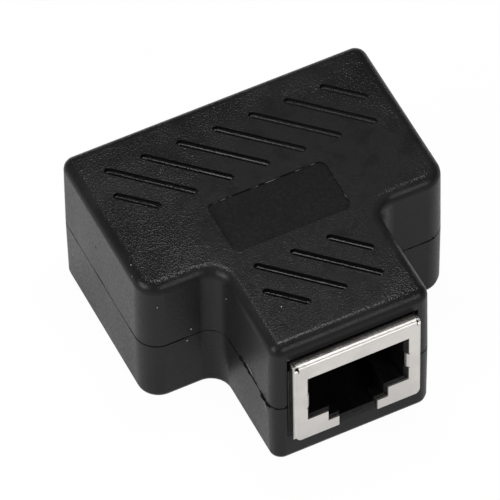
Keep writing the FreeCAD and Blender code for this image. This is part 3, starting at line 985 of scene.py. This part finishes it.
@dataclass
class Jack:
    """One shielded eight-way socket: shield, moulded body, insert, contacts and solder."""

    nodes: dict[str, Piece]
    place: Socket
    finishes: dict[str, Material]
    contact_count: int = 8
    crease_deg: float = 50.0
    edge_round_mm: float = 0.03

    def dress(self) -> Piece:
        """Dresses the socket's nodes and gives the shield rounded sheared edges.

        Returns:
            The shield, which is the piece that shows most.
        """
        name = self.place.value
        shield = tidy_copy(self.nodes[name + "_jack_shield"], name + "_jack_shield_plated", self.crease_deg)
        rounding = shield.modifiers.new("sheared_edge", "BEVEL")
        rounding.width = self.edge_round_mm * MM
        rounding.segments = 2
        rounding.limit_method = "ANGLE"
        rounding.angle_limit = math.radians(self.crease_deg)
        rounding.harden_normals = False
        keep_flats_flat(shield)
        dress(shield, self.finishes["plated_sheet"])
        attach(shield, "root")
        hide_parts(name + "_jack_shield")
        for part, finish in (("body", "jack_plastic"), ("insert", "jack_plastic"), ("solder", "solder")):
            dress(self.nodes[f"{name}_jack_{part}"], self.finishes[finish])
        for index in range(self.contact_count):
            dress(self.nodes[f"{name}_contact_{index + 1}"], self.finishes["plated_contact"])
        return shield


@dataclass(frozen=True)
class Tear:
    """One stretch of the pinched parting line, in millimetres."""

    name: str
    radius: float
    wander: float
    path: tuple[Point, ...]


@dataclass
class Seam:
    """Flaws of the moulding. Along the stem's left wall the halves were pinched, so the parting line opens
    there into a dark ragged crack with two torn spots, whose lips stand up. It is cracked on the right
    shoulder as well, and the bar's left wall has a nick. The cracks and the nick are near-black beads,
    painted shade for their insides; the lips are pale grey beads, a painted highlight on their edges."""

    cracks: tuple[Tear, ...] = (
        Tear("parting_crack", 0.21, 0.1, ((-9.87, -5.6, 9.8), (-9.87, -8.6, 10.1), (-9.87, -10.4, 10.25))),
        Tear("middle_tear", 0.42, 0.2, ((-9.77, -9.7, 10.25), (-9.74, -11.2, 10.3), (-9.78, -12.2, 10.3))),
        Tear("parting_hairline", 0.2, 0.12, ((-9.88, -11.9, 10.3), (-9.88, -15.6, 9.8))),
        Tear("front_tear", 0.5, 0.4, ((-9.74, -14.7, 9.9), (-9.7, -15.9, 9.65), (-9.66, -16.9, 9.65))),
        Tear("corner_crack", 0.32, 0.12, ((-9.8, -16.5, 9.7), (-9.66, -17.2, 9.7), (-9.36, -17.64, 9.75),
                                          (-8.9, -17.92, 9.8), (-8.2, -18.02, 9.95))),
        Tear("shoulder_crack", 0.16, 0.06, ((13.0, -4.08, 9.9), (16.2, -4.08, 9.9), (17.4, -4.02, 9.92))),
        Tear("wall_nick", 0.12, 0.0, ((-19.2, 8.45, 14.8), (-19.2, 8.7, 14.75))),
    )
    lips: tuple[Tear, ...] = (
        Tear("middle_lip", 0.13, 0.12, ((-9.95, -11.4, 11.0), (-9.95, -13.0, 10.7))),
        Tear("front_lip", 0.15, 0.12, ((-9.95, -15.6, 9.35), (-9.95, -16.5, 8.3))),
    )
    grain_mm: float = 0.8
    detail: float = 3.0
    wander_shares: Point = (0.12, 0.0, 2.0)
    swelling: Span = (2.2, -0.2)
    thinnest: float = 0.3
    samples: int = 90
    sides: int = 7
    seed: int = 4

    def build(self) -> list[Piece]:
        """Makes the cracks and their lips.

        Returns:
            The finished pieces.
        """
        # Painted shade: near-black beads stand in for the shade inside the cracks and the nick.
        dark = PlainFinish("shadowed_crack", "040404", (0.75, 0.95)).build()
        # Painted highlight: the lips' pale grey colour stands in for the light they catch.
        lip_highlight = PlainFinish("torn_lip_painted_highlight", "5c5c5d", (0.18, 0.42), 0.15, specular_level=0.4).build()
        pieces = [self._bead(tear, dark) for tear in self.cracks]
        pieces += [self._bead(tear, lip_highlight) for tear in self.lips]
        for piece in pieces:
            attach(piece, "root")
        return pieces

    def _bead(self, tear: Tear, finish: Material) -> Piece:
        """Lays a bead of uneven width along a wandering line.

        Args:
            tear: The stretch it fills.
            finish: Its material.

        Returns:
            The finished piece.
        """
        inputs = {
            "Radius": tear.radius * MM,
            "Wander": tear.wander * MM,
            "Grain": 1 / (self.grain_mm * MM),
            "Seed": float(self.seed),
            "Samples": self.samples,
            "Sides": self.sides,
            "Material": finish,
        }
        tree = PieceTree(tear.name + "_tree", inputs)
        given = tree.given
        inputs = {"Curve": given["Geometry"], "Count": given["Samples"]}
        line = tree.add("GeometryNodeResampleCurve", inputs=inputs)
        place = tree.add("GeometryNodeInputPosition")
        inputs = {"Vector": place, "W": given["Seed"], "Scale": given["Grain"], "Detail": self.detail}
        uneven = tree.add("ShaderNodeTexNoise", {"noise_dimensions": "4D"}, inputs)
        colour = uneven.node.outputs["Color"]
        centred = tree.add(VECTOR_MATH, {"operation": "SUBTRACT"}, (colour, (0.5, 0.5, 0.5)))
        along = tree.add(VECTOR_MATH, {"operation": "MULTIPLY"}, (centred, self.wander_shares))
        shift = tree.add(VECTOR_MATH, {"operation": "MULTIPLY"}, (along, given["Wander"]))
        inputs = {"Geometry": line, "Offset": shift}
        moved = tree.add("GeometryNodeSetPosition", inputs=inputs)
        thick = tree.add(MATH, {"operation": "MULTIPLY_ADD"}, (uneven, *self.swelling))
        thick = tree.add(MATH, {"operation": "MAXIMUM"}, (thick, self.thinnest))
        width = tree.product(thick, given["Radius"])
        inputs = {"Resolution": given["Sides"], "Radius": 1.0}
        section = tree.add("GeometryNodeCurvePrimitiveCircle", inputs=inputs)
        inputs = {0: moved, 1: section, "Scale": width, "Fill Caps": True}
        swept = tree.add("GeometryNodeCurveToMesh", inputs=inputs)
        return tree.bake(tear.name, self._line(tear), swept)

    def _line(self, tear: Tear) -> Piece:
        """Makes the line that a bead follows.

        Args:
            tear: The stretch it spans.

        Returns:
            A curve object at the origin.
        """
        curve = bpy.data.curves.new(tear.name + "_line", "CURVE")
        curve.dimensions = "3D"
        spline = curve.splines.new("POLY")
        spline.points.add(len(tear.path) - 1)
        for point, place in zip(spline.points, tear.path):
            point.co = (*(value * MM for value in place), 1.0)
        return link_object(tear.name + "_line", curve)


@dataclass(frozen=True)
class GapShadeSheet:
    """Thin grey sheet in the gap between the window and the shield on its left, painted shade: its grey
    stands in for the soft shade in the gap.
    """

    name: str = "window_gap_painted_shade"
    outer_x: float = -8.16
    inner_x: float = -7.98
    low_z: float = 3.2
    high_z: float = 16.4
    front_y: float = -18.17
    back_y: float = -17.4
    steps: int = 24
    uneven_mm: float = 0.05
    seed: int = 3

    def build(self) -> Piece:
        """Makes the sheet, whose front edge runs unevenly.

        Returns:
            The finished piece.
        """
        chance = random.Random(self.seed)
        shape = bmesh.new()
        rows = []
        for step in range(self.steps + 1):
            z = self.low_z + (self.high_z - self.low_z) * step / self.steps
            front = self.front_y + chance.uniform(0, self.uneven_mm)
            outline = zip(
                (self.outer_x, self.inner_x, self.inner_x, self.outer_x),
                (self.back_y, self.back_y, front + self.uneven_mm, front),
            )
            rows.append([shape.verts.new((x * MM, y * MM, z * MM)) for x, y in outline])
        for low, high in zip(rows, rows[1:]):
            for side in range(len(low)):
                after = (side + 1) % len(low)
                shape.faces.new((low[side], low[after], high[after], high[side]))
        shape.faces.new(rows[0][::-1])
        shape.faces.new(rows[-1])
        bmesh.ops.recalc_face_normals(shape, faces=shape.faces)
        mesh = bpy.data.meshes.new(self.name)
        shape.to_mesh(mesh)
        shape.free()
        piece = link_object(self.name, mesh)
        # Painted shade: the sheet's grey colour stands in for the soft shade in the gap.
        dress(piece, PlainFinish("gap_painted_shade_abs", "2a2a2b", (0.3, 0.5)).build())
        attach(piece, "root")
        return piece


@dataclass
class Dust:
    """Flecks of pale dust where the photograph shows them, and a few like them on the hidden sides."""

    fleck_radius: float = 0.075
    smallest: Point = (0.6, 0.6, 0.5)
    largest: Point = (1.5, 1.1, 0.9)
    seed: int = 11
    places: tuple[Point, ...] = (
        (-17.55, -4.16, 17.4),
        (-9.96, -6.25, 17.0),
        (-13.5, -4.22, 11.1),
        (-14.05, -4.24, 9.3),
        (-18.5, 0.5, 20.4),
        (-18.95, -0.7, 19.95),
        (19.2, 9.0, 7.0),
        (-9.4, 18.15, 3.4),
    )

    def build(self) -> Piece:
        """Scatters the flecks.

        Returns:
            All flecks as one piece.
        """
        finish = PlainFinish("dust_fleck", "b9b6b0", (0.8, 1.0)).build()
        inputs = {"Radius": self.fleck_radius * MM, "Seed": self.seed, "Material": finish}
        tree = PieceTree("dust_tree", inputs)
        given = tree.given
        inputs = {"Radius": given["Radius"], "Subdivisions": 2}
        grain = tree.add("GeometryNodeMeshIcoSphere", inputs=inputs)
        settings = {"data_type": "FLOAT_VECTOR"}
        spans = ((self.smallest, self.largest), ((0, 0, 0), (math.tau, math.tau, math.tau)))
        limits = ({"Min": low, "Max": high, "Seed": given["Seed"]} for low, high in spans)
        size, turn = (tree.add("FunctionNodeRandomValue", settings, ends) for ends in limits)
        inputs = {"Points": given["Geometry"], "Instance": grain, "Rotation": turn, "Scale": size}
        flecks = tree.add("GeometryNodeInstanceOnPoints", inputs=inputs)
        mesh = bpy.data.meshes.new("dust_places")
        mesh.from_pydata([[value * MM for value in place] for place in self.places], [], [])
        piece = tree.bake("dust_flecks", link_object("dust_places", mesh), flecks)
        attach(piece, "root")
        return piece


@dataclass(frozen=True)
class SoftBox:
    """One rectangular lamp: its middle, the point it faces and its sides in millimetres, and its watts."""

    name: str
    middle: Point
    target: Point
    sides: Span
    watts: float

    def hang(self) -> Piece:
        """Puts the lamp into the scene.

        Returns:
            The lamp.
        """
        light = bpy.data.lights.new(self.name, "AREA")
        light.shape = "RECTANGLE"
        light.size, light.size_y = (side * MM for side in self.sides)
        light.energy = self.watts
        lamp = link_object(self.name, light)
        start = Vector(self.middle) * MM
        direction = start - Vector(self.target) * MM
        turn = direction.to_track_quat("Z", "Y").to_matrix().to_4x4()
        lamp.matrix_world = Matrix.Translation(start) @ turn
        return lamp


@dataclass(frozen=True)
class Studio:
    """Paper sweep, soft lamps and the camera that took the photograph."""

    focal_px: float = 6844.3
    frame_px: float = 500.0
    azimuth_deg: float = -25.17
    elevation_deg: float = 52.11
    roll_deg: float = -1.21
    distance_mm: float = 773.5
    target_mm: Point = (-4.54, -1.234, 17.073)
    sensor_mm: float = 36.0
    clip_m: Span = (0.05, 50)
    floor_half_m: float = 4.0
    world_dim: float = 0.11
    boxes: tuple[SoftBox, ...] = (
        SoftBox("overhead_box", (13, 35, 170), (-5, 5, 20), (75, 42), 0.15),
        SoftBox("left_fill", (-480, -60, 240), (-10, 0, 10), (300, 260), 2.3),
        SoftBox("front_fill", (120, -460, 260), (0, -10, 10), (300, 220), 1.2),
    )

    def camera(self) -> Piece:
        """Places the camera that was fitted to the photograph's outlines.

        Returns:
            The camera.
        """
        azimuth = math.radians(self.azimuth_deg)
        elevation = math.radians(self.elevation_deg)
        level = math.cos(elevation)
        back = Vector((math.sin(azimuth) * level, -math.cos(azimuth) * level, math.sin(elevation)))
        right = Vector((math.cos(azimuth), math.sin(azimuth), 0))
        up = back.cross(right)
        turn = Matrix.Rotation(math.radians(self.roll_deg), 3, back)
        lens = bpy.data.cameras.new("camera")
        lens.sensor_width = self.sensor_mm
        lens.sensor_fit = "HORIZONTAL"
        lens.lens = self.sensor_mm * self.focal_px / self.frame_px
        lens.clip_start, lens.clip_end = self.clip_m
        camera = link_object("camera", lens)
        place = (Vector(self.target_mm) + back * self.distance_mm) * MM
        turned = Matrix((turn @ right, turn @ up, back)).transposed().to_4x4()
        camera.matrix_world = Matrix.Translation(place) @ turned
        bpy.context.scene.camera = camera
        return camera

    def floor(self) -> Piece:
        """Lays the paper under the object.

        Returns:
            The floor.
        """
        reach = self.floor_half_m
        corners = [(-reach, -reach, 0), (reach, -reach, 0), (reach, reach, 0), (-reach, reach, 0)]
        mesh = bpy.data.meshes.new("paper")
        mesh.from_pydata(corners, [], [(0, 1, 2, 3)])
        floor = link_object("paper", mesh)
        dress(floor, StudioPaper().build())
        return floor

    def world(self) -> bpy.types.World:
        """Makes surroundings that are white to the camera and dim to everything else.

        Returns:
            The world.
        """
        world = bpy.data.worlds.new("studio")
        world.use_nodes = True
        tools = NodeTools(world.node_tree)
        tools.tree.nodes.clear()
        path = tools.add("ShaderNodeLightPath").node.outputs
        rays = (path[RayShare.CAMERA.value], path[RayShare.TRANSMISSION.value])
        seen = tools.add(MATH, {"operation": "MAXIMUM"}, rays)
        soft, white = (
            tools.add("ShaderNodeBackground", inputs={"Color": WHITE, "Strength": strength})
            for strength in (self.world_dim, 1.0)
        )
        both = tools.add("ShaderNodeMixShader", inputs={0: seen, 1: soft, 2: white})
        tools.add("ShaderNodeOutputWorld", inputs={"Surface": both})
        bpy.context.scene.world = world
        return world


def report(pieces: list[Piece]) -> None:
    """Logs the finished pieces.

    Args:
        pieces: Objects that were built or dressed.
    """
    for piece in pieces:
        LOG.info("%s: %d faces", piece.name, len(piece.data.polygons))


def main() -> None:
    """Loads the frame, dresses each sub-assembly and sets up the studio."""
    logging.basicConfig(level=logging.INFO, format="%(name)s: %(message)s")
    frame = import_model()
    nodes = frame["nodes"]
    report(Housing(nodes, HousingPlan()).dress())
    finishes = {
        "plated_sheet": NickelPlatedSheet().build(),
        "jack_plastic": FilledPbt().build(),
        "plated_contact": GoldPlatedBronze().build(),
        "solder": BrightSolder().build(),
    }
    report([Jack(nodes, socket, finishes).dress() for socket in Socket])
    dress(nodes["circuit_board"], SolderMask().build())
    report(Seam().build())
    report([GapShadeSheet().build(), Dust().build()])
    studio = Studio()
    studio.floor()
    studio.world()
    for box in studio.boxes:
        box.hang()
    studio.camera()
    bpy.context.scene.view_settings.view_transform = "Standard"


if __name__ == "__main__":
    main()
